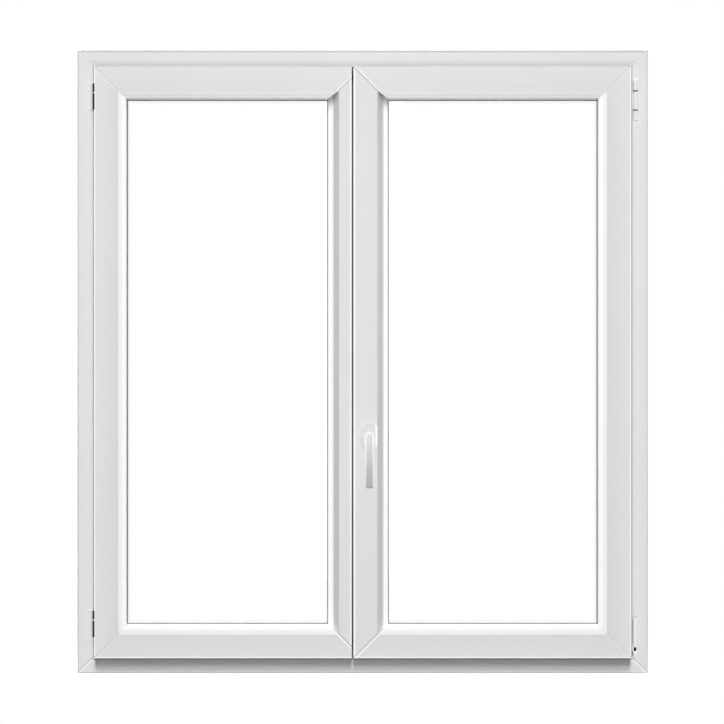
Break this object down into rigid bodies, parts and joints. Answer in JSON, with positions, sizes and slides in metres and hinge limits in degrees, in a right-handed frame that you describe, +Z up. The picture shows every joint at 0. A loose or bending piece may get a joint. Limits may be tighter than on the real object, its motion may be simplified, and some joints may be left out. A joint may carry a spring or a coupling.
{
  "type": "tilt and turn window",
  "caption": "White plastic tilt and turn window: mitred outer frame, side-by-side inward-opening sashes with insulated glass, barrel hinges and a lever handle.",
  "frame": {"origin": "middle of the outer frame's flat underside, half way through the frame's depth", "axes": "+X to the right as seen from the room, +Y outdoors, +Z up"},
  "size_m": [1.3, 0.1433, 1.42],
  "materials": {
    "white_pvc": "satin",
    "hinge_white": "satin",
    "handle_white": "satin",
    "dark_steel": "satin",
    "clear_glass": "polished",
    "spacer_metal": "satin",
    "glazing_gasket": "matte",
    "sash_seal": "matte"
  },
  "bodies": {
    "window": {"drain_caps": "white_pvc", "false_mullion": "white_pvc", "frame_head": "white_pvc", "frame_left_jamb": "white_pvc", "frame_right_jamb": "white_pvc", "frame_sill": "white_pvc", "handle_rosette": "handle_white", "left_bead_bottom": "white_pvc", "left_bead_hinge_side": "white_pvc", "left_bead_meeting_side": "white_pvc", "left_bead_top": "white_pvc", "left_bottom_hinge_frame_half": "hinge_white", "left_bottom_hinge_sash_half": "hinge_white", "left_bottom_rail": "white_pvc", "left_glass_spacer": "spacer_metal", "left_glazing_gaskets": "glazing_gasket", "left_hinge_leaves": "dark_steel", "left_hinge_stile": "white_pvc", "left_inner_pane": "clear_glass", "left_meeting_stile": "white_pvc", "left_outer_pane": "clear_glass", "left_sash_seal": "sash_seal", "left_top_hinge_frame_half": "hinge_white", "left_top_hinge_sash_half": "hinge_white", "left_top_rail": "white_pvc", "outer_seals": "sash_seal", "right_bead_bottom": "white_pvc", "right_bead_hinge_side": "white_pvc", "right_bead_meeting_side": "white_pvc", "right_bead_top": "white_pvc", "right_bottom_hinge_frame_half": "hinge_white", "right_bottom_hinge_sash_half": "hinge_white", "right_bottom_rail": "white_pvc", "right_glass_spacer": "spacer_metal", "right_glazing_gaskets": "glazing_gasket", "right_hinge_pins": "dark_steel", "right_hinge_stile": "white_pvc", "right_inner_pane": "clear_glass", "right_meeting_stile": "white_pvc", "right_outer_pane": "clear_glass", "right_sash_seal": "sash_seal", "right_top_hinge_frame_half": "hinge_white", "right_top_hinge_sash_half": "hinge_white", "right_top_rail": "white_pvc"},
    "handle": {"handle_lever": "handle_white"}
  },
  "joints": [
    {"name": "handle_turn", "type": "hinge", "parent": "window", "child": "handle", "pos_m": [0.0154, -0.069, 0.5395], "axis": [0, -1, 0], "range_deg": [0, 180]}
  ]
}
